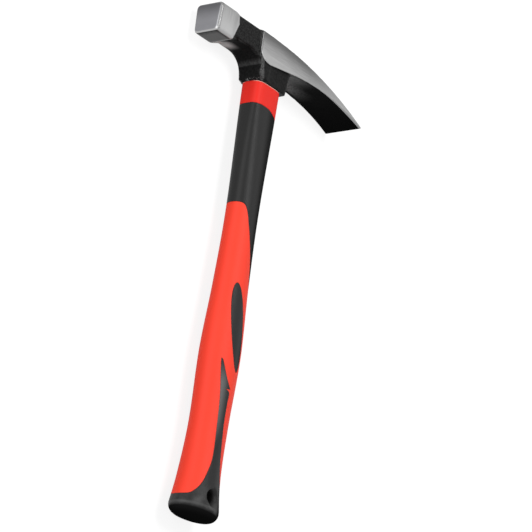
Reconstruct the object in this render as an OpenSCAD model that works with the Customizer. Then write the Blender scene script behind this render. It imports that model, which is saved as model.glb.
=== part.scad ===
// Bricklayer's hammer, lying on its side.
// One forged head with a square poll and a curved chisel blade, bonded to a fibreglass core.
// The handle is moulded in two colours over the core: a hard jacket with soft red inlays.
// Modelled along the handle: X runs from poll to blade, Y from butt to head, Z across the tool.

/* [Tool] */
// Length from the butt to the top of the head
tool_l = 333.2; // [306:1:360]
// Height of the head, from its top down to the seat on the handle
head_h = 33.8; // [31.4:0.1:36.4]

/* [Poll] */
// Width of the poll along its top
poll_w = 22.2; // [20.6:0.2:24]
// Height of the poll
poll_h = 20.9; // [18.6:0.1:23]
// Narrowing of the poll on each side, from its top to its underside
poll_taper = 0.9; // [0:0.1:1.4]
// Distance from the handle axis to the striking face
face_reach = 65.4; // [58:0.2:74]
// Length of the full section
poll_l = 15.6; // [12:0.2:19]
// Bevel round the striking face
face_bevel = 1.3; // [0.6:0.1:2]
// Broken edge along the four corners of the poll
poll_edge = 1.6; // [0.6:0.1:2.4]
// Length of the slope from the poll to the neck
poll_slope = 4.6; // [3:0.1:7]

/* [Neck and boss] */
// Width of the neck across the tool
neck_w = 19.2; // [16.6:0.2:19.6]
// Drop from the poll's top to the neck's top
neck_drop = 1.2; // [0.5:0.1:2]
// Height of the neck
neck_h = 15.7; // [14:0.1:17]
// Radius of the hollow between neck and boss
throat_r = 15; // [11:0.5:16]
// Distance from the handle axis to the boss's front at its seat
boss_front = 13.5; // [13.2:0.1:16]
// Distance from the handle axis to the boss's back at its seat
boss_back = 15.4; // [13.2:0.1:16]
// Width of the boss at its seat
boss_w = 18.2; // [17:0.1:21]
// Widening of the boss from its seat up to the blade
boss_draft = 1.1; // [0.5:0.1:1.8]
// Lean of the boss's front, from its seat up to the neck's top
boss_lean = 7.4; // [5:0.1:9]
// Lean of the boss's back
boss_back_lean = 2.4; // [1:0.1:4]
// Broken front corners of the boss
boss_chamfer = 2.4; // [1:0.1:3.4]
// Broken back corners of the boss
boss_back_chamfer = 1.4; // [0.6:0.1:2.4]

/* [Blade] */
// Distance from the handle axis to the cutting edge
blade_reach = 92.9; // [84:0.1:104]
// Width of the cutting edge
blade_w = 30.4; // [27:0.2:34]
// Width of the blade at its root
root_w = 21.2; // [20.8:0.2:26]
// Thickness of the cutting edge
edge_t = 0.8; // [0.5:0.1:1.6]
// Depth of the hollow underside at its highest point, from the top of the head
belly_depth = 17.2; // [16:0.1:18.4]
// Distance from the handle axis to that point
belly_x = 38; // [32:0.5:43]
// Radius of the curved top of the blade
crest_r = 270; // [245:1:310]
// Distance from the handle axis back to where that curve starts
crest_x = 17.8; // [13:0.1:21]
// Drop from the poll's top to where that curve starts
crest_drop = 1.3; // [0.6:0.1:2]
// Distance from the handle axis to the front of the ground cheek
cheek_x = 20.4; // [19:0.1:23]
// Bevel along the front of the cheek
cheek_bevel = 1.6; // [0.6:0.1:2.6]
// Distance from the handle axis to where the cheek's straight lower edge starts
cheek_line_x = 16; // [12:0.5:20]
// Radius of the cheek's lower front corner
cheek_r = 14; // [10:0.5:16]

/* [Eye and core] */
// Length of the eye, along the head
eye_l = 20; // [18:0.2:22]
// Width of the eye
eye_w = 12; // [10.6:0.2:13.4]
// Resin between the eye and the core
resin_t = 2.2; // [1.2:0.1:3]
// Depth of the resin under the top of the eye
resin_drop = 3; // [1:0.1:5]
// Solid plastic between the hanging hole and the core
core_clear = 9; // [5:0.5:16]

/* [Handle form] */
// Width of the butt, in the plane of the head
butt_w = 41.2; // [37:0.2:45]
// Thickness of the butt, across the head
butt_t = 29.4; // [27:0.2:30.6]
// Crown of the butt's end
butt_crown = 0.6; // [0.4:0.1:3]
// Rounding of the butt's rim
butt_r = 7; // [4:0.2:7.6]
// Height of the heel, where the flare of the butt ends
heel_y = 25.5; // [20:0.5:30]
// Width of the heel
heel_w = 31.3; // [29:0.1:35]
// Thickness of the heel
heel_t = 26.3; // [24:0.1:29]
// Height of the little-finger hollow
hollow_y = 62; // [54:0.5:70]
// Width at the little-finger hollow
hollow_w = 29; // [26:0.1:32]
// Thickness at the little-finger hollow
hollow_t = 23.3; // [21.4:0.1:26]
// Height of the palm swell
palm_y = 112; // [102:0.5:122]
// Width of the palm swell
palm_w = 31.4; // [28:0.1:34]
// Thickness of the palm swell
palm_t = 24.4; // [22:0.1:27]
// Height of the thumb hollow
thumb_y = 158; // [150:0.5:166]
// Width at the thumb hollow
thumb_w = 26.8; // [24:0.1:29]
// Thickness at the thumb hollow
thumb_t = 21.4; // [19.6:0.1:24]
// Height of the slimmest part of the shaft
shaft_y = 206; // [192:0.5:216]
// Width of the shaft
shaft_w = 24.2; // [22:0.1:26]
// Thickness of the shaft
shaft_t = 19.4; // [18:0.1:21.4]
// Distance from the seat down to the shoulder
shoulder_drop = 44; // [36:0.5:50]
// Width of the shoulder
shoulder_w = 25.4; // [23:0.1:27]
// Thickness of the shoulder
shoulder_t = 18.3; // [17:0.1:20]
// Width of the handle at its seat
seat_w = 25.6; // [24.6:0.1:26.6]
// Thickness of the handle at its seat
seat_t = 17.2; // [16.4:0.1:18]
// Squareness of the section at the seat, where 2 is an ellipse
seat_square = 4.2; // [2:0.1:6]
// Bow of the axis at the butt
butt_bow = -1.9; // [-3:0.1:0]
// Bow of the axis at the little-finger hollow
hollow_bow = -0.5; // [-2:0.1:1]
// Bow of the axis along the palm, thumb and shaft
palm_bow = -0.1; // [-1:0.1:1]
// Bow of the axis at the seat
seat_bow = -0.8; // [-1.4:0.1:0]

/* [Soft inlays] */
// Thickness of the red soft plastic
skin_t = 1.8; // [1.2:0.1:2.4]
// Height of the front of the grip's lower edge
grip_low = 11.3; // [10:0.1:13]
// Height of the front of the grip's upper edge
grip_top = 213.3; // [203:0.1:224]
// Fall of the grip's upper edge from front to back
grip_fall = 60; // [40:1:70]
// Length of the collar along its front
collar_l = 15.8; // [12:0.1:22]
// Fall of the collar's lower edge from front to back
collar_fall = 6.6; // [3:0.1:12]
// Height of the middle of the leaf-shaped panel
leaf_y = 128.8; // [122:0.1:134]
// Distance of that point in front of the handle axis
leaf_x = -0.2; // [-1:0.1:3]
// Length of the leaf-shaped panel
leaf_l = 59.5; // [50:0.5:66]
// Width of the leaf-shaped panel
leaf_w = 12.2; // [9:0.1:13.4]
// Slant of the leaf-shaped panel, in degrees
leaf_slant = 10.4; // [6:0.1:14]
// Height of the tip of the forked panel
fork_y = 105; // [98:0.2:110]
// Width of the forked panel's stem
fork_w = 6.2; // [4.8:0.1:7]
// Distance of the stem in front of the handle axis
fork_x = 1.7; // [0.8:0.1:2.8]
// Reach of the barb behind the middle of the stem
fork_barb = 3.6; // [3.2:0.1:4.6]

/* [Hanging hole] */
// Diameter of the hole
hang_d = 9.4; // [8:0.1:11]
// Height of the hole above the butt
hang_y = 13.4; // [12.6:0.1:16]
// Radius of the flare at both ends of the hole
hang_flare = 5; // [3:0.1:6]
// Height of the flare's rim above the face, so that it meets the face at an angle
hang_rise = 0.8; // [0.6:0.1:1.2]

/* [Hidden] */
$fn = 96;
sides = 32;
rings = 36;
curve_steps = 4;
over = 3;
steel = [0.62, 0.63, 0.64];
amber = [0.72, 0.60, 0.34];
glass_yellow = [0.80, 0.76, 0.55];
black = [0.12, 0.12, 0.12];
red = [0.86, 0.16, 0.11];
deep_red = [0.80, 0.13, 0.10];

seat_y = tool_l - head_h;
mid_x = (blade_reach - face_reach) / 2;
poll_y = tool_l - poll_h;
neck_y = tool_l - neck_drop - neck_h;
boss_h = head_h - neck_drop;
crest_y = tool_l - crest_drop - crest_r;
blade_tip_y = crest_y + sqrt(pow(crest_r, 2) - pow(blade_reach + crest_x, 2)) - edge_t;
belly_rise = tool_l - belly_depth - blade_tip_y;
belly_r = (pow(blade_reach - belly_x, 2) + pow(belly_rise, 2)) / (2 * belly_rise);
belly_y = tool_l - belly_depth - belly_r;
cheek_line_y = belly_y + sqrt(pow(belly_r, 2) - pow(belly_x - cheek_line_x, 2));
cheek_rise = (belly_x - cheek_line_x) / (cheek_line_y - belly_y);
cheek_y = cheek_line_y - cheek_rise * (cheek_line_x + cheek_x);
cheek_skew = sqrt(1 + pow(cheek_rise, 2));
cheek_corner_w = cheek_r * (1 + cheek_rise / cheek_skew);
cheek_corner_h = cheek_r * (cheek_rise + cheek_skew);
core_l = eye_l - 2 * resin_t;
core_w = eye_w - 2 * resin_t;
core_y = hang_y + hang_d / 2 + core_clear;
core_top = tool_l - resin_drop;

// Handle stations from butt to seat: height, width, thickness, bow, squareness
stations = [
    [0, butt_w, butt_t, butt_bow, 2],
    [heel_y, heel_w, heel_t, butt_bow, 2],
    [hollow_y, hollow_w, hollow_t, hollow_bow, 2],
    [palm_y, palm_w, palm_t, palm_bow, 2],
    [thumb_y, thumb_w, thumb_t, palm_bow, 2],
    [shaft_y, shaft_w, shaft_t, palm_bow, 2.1],
    [seat_y - shoulder_drop, shoulder_w, shoulder_t, (palm_bow + seat_bow) / 2, 2.7],
    [seat_y, seat_w, seat_t, seat_bow, seat_square]
];
last_station = len(stations) - 1;

function station_below(y, i = 0) =
    (i >= last_station - 1 || y < stations[i + 1][0]) ? i : station_below(y, i + 1);

function station_slope(i, k) =
    let (a = stations[max(i - 1, 0)], b = stations[min(i + 1, last_station)])
    (b[k] - a[k]) / (b[0] - a[0]);

// Value k of the handle at height y, on a smooth curve through the stations
function handle_at(y, k) =
    let (
        i = station_below(y),
        h = stations[i + 1][0] - stations[i][0],
        t = (y - stations[i][0]) / h
    )
    (2 * t^3 - 3 * t^2 + 1) * stations[i][k]
    + (3 * t^2 - 2 * t^3) * stations[i + 1][k]
    + (t^3 - 2 * t^2 + t) * h * station_slope(i, k)
    + (t^3 - t^2) * h * station_slope(i + 1, k);

function bent(v, e) = sign(v) * pow(abs(v), e);

// One ring of the handle at height y, drawn in by inset and then scaled by f
function ring(y, inset, f = 1) =
    let (
        a = f * (handle_at(y, 1) / 2 - inset),
        b = f * (handle_at(y, 2) / 2 - inset),
        e = 2 / handle_at(y, 4)
    )
    [for (j = [0:sides - 1])
        let (w = 360 * j / sides)
        [handle_at(y, 3) + a * bent(cos(w), e), y, b * bent(sin(w), e)]];

// Point at part t of the curve from p1 to p2, with p0 and p3 as its neighbours
function blend(p0, p1, p2, p3, t) =
    0.5 * (2 * p1 + (p2 - p0) * t
        + (2 * p0 - 5 * p1 + 4 * p2 - p3) * t^2
        + (3 * p1 - p0 - 3 * p2 + p3) * t^3);

// Smooth open curve through the points p
function curve(p) =
    let (n = len(p))
    [for (i = [0:n - 2], s = [0:curve_steps - 1])
        blend(p[max(i - 1, 0)], p[i], p[i + 1], p[min(i + 2, n - 1)], s / curve_steps),
        p[n - 1]];

module place() {
    translate([-mid_x, -tool_l / 2, blade_w / 2])
        children();
}

// Extrusion along the handle of a shape drawn across it
module along_handle(y0, y1) {
    translate([0, y0, 0])
        rotate([-90, 0, 0])
            linear_extrude(height = y1 - y0)
                children();
}

// Slot with round ends
module slot(l, w) {
    square([l - w, w], center = true);
    for (s = [-1, 1])
        translate([s * (l - w) / 2, 0])
            circle(d = w);
}

// Rectangle with corners broken by c0 at its x0 end and by c1 at its x1 end
module broken_rect(x0, x1, w, c0, c1) {
    h = w / 2;
    polygon([
        [x0 + c0, -h],
        [x1 - c1, -h],
        [x1, c1 - h],
        [x1, h - c1],
        [x1 - c1, h],
        [x0 + c0, h],
        [x0, h - c0],
        [x0, c0 - h]
    ]);
}

// Smooth closed form of the handle, drawn in by inset and ending at height y1
module handle_form(inset, y1) {
    crown = [for (f = [0.4, 0.75])
        ring(inset + butt_crown * (f^2 - 0.16) / 0.84, inset + butt_r, f)];
    rim = [for (a = [0:30:60])
        ring(inset + butt_crown + butt_r * (1 - cos(a)), inset + butt_r * (1 - sin(a)))];
    y0 = inset + butt_crown + butt_r;
    body = [for (i = [0:rings]) ring(y0 + (y1 - y0) * i / rings, inset)];
    loft = concat(crown, rim, body);
    top = len(loft) - 1;
    walls = [for (i = [0:top - 1], j = [0:sides - 1])
        let (
            k = (j + 1) % sides,
            a = i * sides,
            b = a + sides
        )
        each [[a + j, a + k, b + k], [a + j, b + k, b + j]]];
    low_cap = [for (j = [sides - 1:-1:0]) j];
    top_cap = [for (j = [0:sides - 1]) top * sides + j];
    polyhedron([for (r = loft) each r], concat(walls, [low_cap, top_cap]), convexity = 6);
}

// Side view of the leaf-shaped panel
module leaf() {
    translate([-leaf_x, leaf_y])
        rotate(leaf_slant)
            polygon([for (i = [0:31])
                let (w = 360 * i / 32)
                [leaf_w / 2 * sin(w), leaf_l / 2 * cos(w)]]);
}

// Side view of the black butt and the forked panel that rises from it
module fork() {
    half = fork_w / 2;
    rise = fork_y - grip_low;
    front_x = butt_bow - butt_w / 2;
    back_x = butt_bow + butt_w / 2;
    front = curve([
        [front_x - over, grip_low],
        [front_x + 3.9, grip_low + 0.4],
        [front_x + 7.5, grip_low + 3.2],
        [front_x + 11.3, grip_low + 0.094 * rise],
        [-fork_x - half - 3.3, grip_low + 0.178 * rise],
        [-fork_x - half - 0.6, grip_low + 0.29 * rise],
        [-fork_x - half, grip_low + 0.46 * rise],
        [-fork_x - half - 1, grip_low + 0.7 * rise],
        [-fork_x - half - 4, grip_low + 0.93 * rise],
        [-fork_x - half - 4.6, fork_y]
    ]);
    barb = curve([
        [-fork_x - half - 3.5, fork_y - 0.5],
        [-fork_x - half + 0.5, fork_y - 9.4],
        [0.7 - fork_x, fork_y - 14.7],
        [fork_barb - fork_x, fork_y - 18.2]
    ]);
    back = curve([
        [-fork_x - 0.7, fork_y - 19.2],
        [2 - fork_x, fork_y - 19.9],
        [fork_barb - fork_x - 0.2, fork_y - 21.8],
        [half - fork_x, grip_low + 0.7 * rise],
        [half - fork_x - 0.1, grip_low + 0.56 * rise],
        [half - fork_x + 0.9, grip_low + 0.4 * rise],
        [half - fork_x + 1.9, grip_low + 0.28 * rise],
        [half - fork_x + 4.4, grip_low + 0.18 * rise],
        [back_x - 6.7, grip_low + 6],
        [back_x + over, grip_low + 2]
    ]);
    polygon(concat([[front_x - over, -over]], front, barb, back, [[back_x + over, -over]]));
}

// Space that the red grip fills, open outwards
module grip_space() {
    upper = curve([
        [-16.4, grip_top - 1],
        [-11.4, grip_top],
        [-7.6, grip_top - 0.02 * grip_fall],
        [-5, grip_top - 0.1 * grip_fall],
        [-3, grip_top - 0.21 * grip_fall],
        [0.2, grip_top - 0.385 * grip_fall],
        [4.4, grip_top - 0.63 * grip_fall],
        [8.4, grip_top - 0.9 * grip_fall],
        [14.8, grip_top - 1.08 * grip_fall]
    ]);
    difference() {
        linear_extrude(height = 2 * butt_t, center = true)
            difference() {
                polygon(concat(
                    [[-butt_w, 0], [-butt_w, grip_top - 1]],
                    upper,
                    [[butt_w, grip_top - 1.1 * grip_fall], [butt_w, 0]]
                ));
                leaf();
                fork();
            }
        handle_form(skin_t, seat_y + over);
    }
}

// Space that the red collar fills, open outwards
module collar_space() {
    low = seat_y - collar_l;
    lower = curve([
        [-6, low],
        [-1, low - 0.02 * collar_fall],
        [2, low - 0.11 * collar_fall],
        [5.2, low - 0.33 * collar_fall],
        [9, low - 0.62 * collar_fall],
        [13, low - collar_fall]
    ]);
    difference() {
        linear_extrude(height = 2 * butt_t, center = true)
            polygon(concat(
                [[-butt_w, seat_y + over], [-butt_w, low]],
                lower,
                [[butt_w, low - collar_fall], [butt_w, seat_y + over]]
            ));
        handle_form(skin_t, seat_y + 2 * over);
    }
}

module core_rod() {
    along_handle(core_y, core_top)
        slot(core_l, core_w);
}

// Hanging hole, whose wall flares out to both faces of the handle
module hang_hole() {
    reach = handle_at(hang_y, 2) / 2 + hang_rise;
    translate([handle_at(hang_y, 3), hang_y, 0])
        rotate_extrude()
            difference() {
                translate([0, -butt_t])
                    square([hang_d / 2 + hang_flare, 2 * butt_t]);
                translate([hang_d / 2 + hang_flare, 0])
                    rotate(90)
                        slot(2 * reach, 2 * hang_flare);
            }
}

// Section of the poll at distance x from its face, drawn in by inset
module poll_slice(x, inset) {
    h = poll_w / 2 - inset;
    l = h - poll_taper;
    y0 = poll_y + inset;
    y1 = tool_l - inset;
    translate([x - face_reach, 0, 0])
        rotate([0, 90, 0])
            linear_extrude(height = 0.1)
                polygon([
                    [poll_edge - h, y1],
                    [h - poll_edge, y1],
                    [h, y1 - poll_edge],
                    [l, y0 + poll_edge],
                    [l - poll_edge, y0],
                    [poll_edge - l, y0],
                    [-l, y0 + poll_edge],
                    [-h, y1 - poll_edge]
                ]);
}

// Poll: a block with a bevelled face, narrowed to the neck by its side and plan outlines
module poll() {
    h = poll_w / 2;
    rear = poll_l - face_reach;
    foot = rear + poll_slope;
    intersection() {
        hull() {
            poll_slice(0, face_bevel);
            poll_slice(face_bevel, 0);
            poll_slice(face_reach, 0);
        }
        linear_extrude(height = poll_w, center = true)
            polygon([
                [-face_reach, poll_y],
                [rear, poll_y],
                [foot + 6, neck_y],
                [foot, tool_l - neck_drop],
                [rear, tool_l],
                [-face_reach, tool_l]
            ]);
        along_handle(poll_y, tool_l)
            polygon([
                [-face_reach, -h],
                [rear, -h],
                [foot, -neck_w / 2],
                [foot + 6, -neck_w / 2],
                [foot + 6, neck_w / 2],
                [foot, neck_w / 2],
                [rear, h],
                [-face_reach, h]
            ]);
    }
}

// Side view of everything under the curved top of the blade
module crest() {
    translate([-crest_x, crest_y])
        circle(r = crest_r, $fn = 256);
}

// Neck between poll and boss, with the hollow that runs down into the boss
module neck() {
    throat_y = neck_y - throat_r;
    throat_x = -boss_front - boss_lean * (throat_y - seat_y) / boss_h - throat_r;
    linear_extrude(height = neck_w, center = true)
        difference() {
            translate([poll_l - face_reach, neck_y - throat_r])
                square([face_reach - poll_l, throat_r + neck_h]);
            translate([throat_x, throat_y])
                circle(r = throat_r);
            translate([-face_reach, throat_y - over])
                square([face_reach + throat_x, throat_r + over]);
            translate([-face_reach, throat_y - over])
                square([face_reach, over]);
            difference() {
                translate([-crest_x, neck_y])
                    square([crest_x + over, neck_h + over]);
                crest();
            }
        }
}

// Boss round the eye, wider and longer towards the blade, whose curve trims its top
module boss() {
    top_w = boss_w + 2 * boss_draft;
    top_front = boss_front + boss_lean;
    top_back = boss_back + boss_back_lean;
    intersection() {
        hull() {
            along_handle(seat_y, seat_y + 0.1)
                broken_rect(-boss_front, boss_back, boss_w, boss_chamfer, boss_back_chamfer);
            along_handle(seat_y + boss_h - 0.1, seat_y + boss_h)
                broken_rect(-top_front, top_back, top_w, boss_chamfer, boss_back_chamfer);
        }
        linear_extrude(height = 2 * top_w, center = true)
            crest();
    }
}

// Curved chisel blade with its ground cheeks
module blade() {
    intersection() {
        linear_extrude(height = 2 * blade_w, center = true)
            difference() {
                intersection() {
                    crest();
                    translate([-cheek_x, seat_y])
                        square([cheek_x + blade_reach, head_h]);
                }
                translate([belly_x, belly_y])
                    circle(r = belly_r, $fn = 256);
                polygon([
                    [-cheek_x - over, cheek_y - over * cheek_rise],
                    [cheek_line_x, cheek_line_y],
                    [belly_x, belly_y],
                    [-cheek_x - over, belly_y]
                ]);
                difference() {
                    translate([-cheek_x - over, cheek_y - over])
                        square([cheek_corner_w + over, cheek_corner_h + over]);
                    translate([cheek_r - cheek_x, cheek_y + cheek_corner_h])
                        circle(r = cheek_r);
                }
            }
        along_handle(seat_y, tool_l)
            polygon([
                [-cheek_x, cheek_bevel - root_w / 2],
                [cheek_bevel - cheek_x, -root_w / 2],
                [blade_reach, -blade_w / 2],
                [blade_reach, blade_w / 2],
                [cheek_bevel - cheek_x, root_w / 2],
                [-cheek_x, root_w / 2 - cheek_bevel]
            ]);
    }
}

module hammer_head() {
    color(steel)
        place()
            difference() {
                union() {
                    poll();
                    neck();
                    boss();
                    blade();
                }
                along_handle(seat_y - over, tool_l + over)
                    slot(eye_l, eye_w);
            }
}

module eye_resin() {
    color(amber)
        place()
            along_handle(seat_y, core_top)
                difference() {
                    slot(eye_l, eye_w);
                    slot(core_l, core_w);
                }
}

module fibreglass_core() {
    color(glass_yellow)
        place()
            core_rod();
}

module handle_jacket() {
    color(black)
        place()
            difference() {
                handle_form(0, seat_y);
                grip_space();
                collar_space();
                core_rod();
                hang_hole();
            }
}

module neck_collar() {
    color(deep_red)
        place()
            intersection() {
                handle_form(0, seat_y);
                collar_space();
            }
}

module grip_skin() {
    color(red)
        place()
            intersection() {
                handle_form(0, seat_y);
                grip_space();
            }
}

hammer_head();
eye_resin();
fibreglass_core();
handle_jacket();
neck_collar();
grip_skin();
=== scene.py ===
import math

import bmesh
import bpy
import numpy as np
from mathutils import Matrix, Vector
from mathutils.geometry import delaunay_2d_cdt
from mathutils.kdtree import KDTree


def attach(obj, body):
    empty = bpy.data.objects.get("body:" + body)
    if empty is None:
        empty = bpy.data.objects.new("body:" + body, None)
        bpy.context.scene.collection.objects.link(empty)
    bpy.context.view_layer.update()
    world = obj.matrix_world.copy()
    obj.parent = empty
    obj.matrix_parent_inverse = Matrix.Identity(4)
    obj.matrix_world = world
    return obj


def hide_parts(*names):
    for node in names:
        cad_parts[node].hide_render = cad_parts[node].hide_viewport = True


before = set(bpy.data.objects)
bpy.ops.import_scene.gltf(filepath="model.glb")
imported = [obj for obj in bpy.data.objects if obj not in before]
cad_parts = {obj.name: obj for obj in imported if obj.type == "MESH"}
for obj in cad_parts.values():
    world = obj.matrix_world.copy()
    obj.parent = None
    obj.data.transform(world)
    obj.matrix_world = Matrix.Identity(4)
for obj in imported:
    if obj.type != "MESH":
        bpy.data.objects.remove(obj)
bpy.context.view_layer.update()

# The hammer is drawn in millimetres along its handle, as its solids are: X from poll to blade,
# Y from butt to head, Z across. MM and PLACE bring it to metres in the part's own frame.
MM = 0.001
TOOL_L = 333.2
HEAD_H = 33.8
SEAT_Y = TOOL_L - HEAD_H
FACE_REACH = 65.4
BLADE_REACH = 92.9
BLADE_W = 30.4
MID_X = (BLADE_REACH - FACE_REACH) / 2
PLACE = Vector((-MID_X, -TOOL_L / 2, BLADE_W / 2)) * MM

# Sizes of the forged head. The soft ones say how far from an edge its rounding starts.
HEAD = {
    "Tool length": TOOL_L,
    "Head height": HEAD_H,
    "Poll width": 22.2,
    "Poll height": 20.9,
    "Poll taper": 0.9,
    "Face reach": FACE_REACH,
    "Poll length": 15.6,
    "Face bevel": 1.3,
    "Poll edge": 1.6,
    "Poll slope": 4.6,
    "Poll overlap": 6.0,
    "Neck width": 19.2,
    "Neck drop": 1.2,
    "Neck height": 15.7,
    "Neck end": 9.0,
    "Neck fade": 0.22,
    "Throat radius": 15.0,
    "Boss front": 13.5,
    "Boss back": 15.4,
    "Boss width": 18.2,
    "Boss draft": 1.1,
    "Boss lean": 7.4,
    "Boss back lean": 2.4,
    "Boss chamfer": 2.4,
    "Boss back chamfer": 1.4,
    "Blade reach": BLADE_REACH,
    "Blade width": BLADE_W,
    "Root width": 21.2,
    "Edge thickness": 0.8,
    "Belly depth": 17.2,
    "Belly place": 38.0,
    "Crest radius": 270.0,
    "Crest place": 17.8,
    "Crest drop": 1.3,
    "Cheek front": 20.4,
    "Cheek bevel": 1.6,
    "Cheek line": 16.0,
    "Cheek corner": 14.0,
    "Eye length": 20.0,
    "Eye width": 12.0,
    "Ground soft": 0.5,
    "Poll corner soft": 2.0,
    "Forged soft": 1.0,
    "Blade soft": 0.8,
    "Neck blend": 3.2,
    "Cheek blend": 1.0,
    "Belly blend": 5.0,
    "Seat soft": 0.6,
    "Edge soft": 0.5,
    "Eye soft": 1.0,
    "Forging ripple": 0.16,
}

# Spacing of the grid that the head is meshed on, and the room left round it
GRID = 0.43
MARGIN = 1.0

# Handle stations from butt to seat: height, width, thickness, bow, squareness
STATIONS = np.array([
    (0.0, 41.2, 29.4, -1.9, 2.0),
    (25.5, 31.3, 26.3, -1.9, 2.0),
    (62.0, 29.0, 23.3, -0.5, 2.0),
    (112.0, 31.4, 24.4, -0.1, 2.0),
    (158.0, 26.8, 21.4, -0.1, 2.0),
    (206.0, 24.2, 19.4, -0.1, 2.1),
    (SEAT_Y - 44.0, 25.4, 18.3, -0.45, 2.7),
    (SEAT_Y, 25.6, 17.2, -0.8, 4.2),
])
BUTT_CROWN = 0.6
BUTT_R = 7.0
RIM_Y = BUTT_CROWN + BUTT_R
SKIN_T = 1.8
SEAM_LIP = 0.32
GRIP_LOW = 11.3
GRIP_TOP = 213.3
GRIP_FALL = 60.0
COLLAR_LOW = SEAT_Y - 15.8
COLLAR_FALL = 6.6
LEAF_X, LEAF_Y, LEAF_L, LEAF_W, LEAF_SLANT = 0.2, 128.8, 59.5, 12.2, math.radians(10.4)
FORK_Y, FORK_W, FORK_X, FORK_BARB = 105.0, 6.2, 1.7, 3.6
HANG_D, HANG_Y, HANG_FLARE, HANG_RISE = 9.4, 13.4, 5.0, 0.4

# On its front side the hole flares by this share only; its mouth is eased into the handle
HANG_FRONT, HANG_SOFT = 0.35, 0.6

# Spacing of the handle's skin and of the corners along its seams, the finer spacing that tells how
# far a corner is from a seam, and the radius that turns an angle round the handle into a length
STEP = 0.85
SEAM_STEP = 0.45
SEAM_FINE = 0.05
ROUND = 13.5

# Distances of the rows of corners beside a seam and round the hole, the room that the skin's
# even corners leave a seam, and a gap that no lip reaches
LIP_ROWS = tuple(share * SEAM_LIP for share in (0.14, 0.42, 1.0))
SEAM_ROWS = (*LIP_ROWS, 0.62)
HANG_ROWS = HANG_FLARE * np.array([0.008, 0.03, 0.07, 0.13, 0.21, 0.32, 0.46, 0.63, 0.82])
SEAM_ROOM = 0.95
NO_LIP = 9.0

# Rows of corners round the butt's rim and over its crowned end
RIM_ROWS, CROWN_ROWS = 8, 14

# Limits of the side view, well outside the handle
WIDE, BELOW, ABOVE = 60.0, -9.0, SEAT_Y + 9.0


class Wire:
    """One output of a node. Arithmetic on it adds Math nodes to the same tree."""

    def __init__(self, graph, socket):
        self.graph = graph
        self.socket = socket

    def math(self, operation, *values):
        return self.graph.add("ShaderNodeMath", {"operation": operation}, dict(enumerate(values)))

    def also(self, name):
        """Another output of the same node."""
        return Wire(self.graph, self.socket.node.outputs[name])

    def __add__(self, other):
        return self.math("ADD", self, other)

    __radd__ = __add__

    def __sub__(self, other):
        return self.math("SUBTRACT", self, other)

    def __rsub__(self, other):
        return self.math("SUBTRACT", other, self)

    def __mul__(self, other):
        return self.math("MULTIPLY", self, other)

    __rmul__ = __mul__

    def __truediv__(self, other):
        return self.math("DIVIDE", self, other)

    def __rtruediv__(self, other):
        return self.math("DIVIDE", other, self)

    def __pow__(self, other):
        return self.math("POWER", self, other)

    def __neg__(self):
        return self.math("MULTIPLY", self, -1.0)

    def __abs__(self):
        return self.math("ABSOLUTE", self)

    def __gt__(self, other):
        return self.math("GREATER_THAN", self, other)


class Graph:
    """A node tree to which every node is added by one method."""

    def __init__(self, tree):
        self.tree = tree

    def add(self, kind, settings=None, sockets=None, output=None):
        """Adds a node of that type, with its settings first and then its sockets."""
        node = self.tree.nodes.new(kind)
        for name, value in (settings or {}).items():
            setattr(node, name, value)
        for key, value in (sockets or {}).items():
            if isinstance(key, int):
                socket = node.inputs[key]
            else:
                socket = next(s for s in node.inputs if s.name == key and s.enabled)
            if isinstance(value, Wire):
                self.tree.links.new(value.socket, socket)
            else:
                socket.default_value = value
        shown = [s for s in node.outputs if s.enabled]
        if output:
            return Wire(self, next(s for s in shown if s.name == output))
        return Wire(self, shown[0]) if shown else node


def larger(a, b, soft=0.0):
    """The larger of two values, eased into each other over a distance of soft."""
    wire = a if isinstance(a, Wire) else b
    if isinstance(soft, float) and soft == 0.0:
        return wire.math("MAXIMUM", a, b)
    return wire.math("SMOOTH_MAX", a, b, soft)


def smaller(a, b, soft=0.0):
    """The smaller of two values, eased into each other over a distance of soft."""
    wire = a if isinstance(a, Wire) else b
    if isinstance(soft, float) and soft == 0.0:
        return wire.math("MINIMUM", a, b)
    return wire.math("SMOOTH_MIN", a, b, soft)


def root(value):
    return value.math("SQRT", value)


def distance(a, b):
    return root(a * a + b * b)


def common(fields, soft):
    """The part that lies inside every one of the fields, with its edges eased."""
    shape = fields[0]
    for field in fields[1:]:
        shape = larger(shape, field, soft)
    return shape


def rise(value, low, high):
    """0 below low and 1 above high, on a smooth curve between."""
    return value.graph.add(
        "ShaderNodeMapRange",
        {"interpolation_type": "SMOOTHSTEP"},
        {"Value": value, "From Min": low, "From Max": high, "To Min": 0.0, "To Max": 1.0},
    )


def fall(value, low, high):
    """1 below low and 0 above high, on a smooth curve between."""
    return 1.0 - rise(value, low, high)


def mix_colour(factor, a, b):
    return factor.graph.add(
        "ShaderNodeMix", {"data_type": "RGBA"}, {"Factor": factor, "A": a, "B": b}
    )


def layers(colour, *coats):
    """A colour with others laid over it in turn, each as (share, colour)."""
    for share, coat in coats:
        colour = mix_colour(share, colour, coat)
    return colour


def grey(value):
    return (value, value, value, 1.0)


def geometry_tree(name, sizes):
    """A Geometry Nodes tree with one named input per size.

    Gives the graph, the inputs' wires by name, and the tree's entry and end.
    """
    tree = bpy.data.node_groups.new(name, "GeometryNodeTree")
    tree.interface.new_socket("Geometry", in_out="INPUT", socket_type="NodeSocketGeometry")
    tree.interface.new_socket("Geometry", in_out="OUTPUT", socket_type="NodeSocketGeometry")
    for label in sizes:
        tree.interface.new_socket(label, in_out="INPUT", socket_type="NodeSocketFloat")
    graph = Graph(tree)
    entry = graph.add("NodeGroupInput")
    wires = {label: entry.also(label) for label in sizes}
    return graph, wires, entry, graph.add("NodeGroupOutput")


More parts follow.
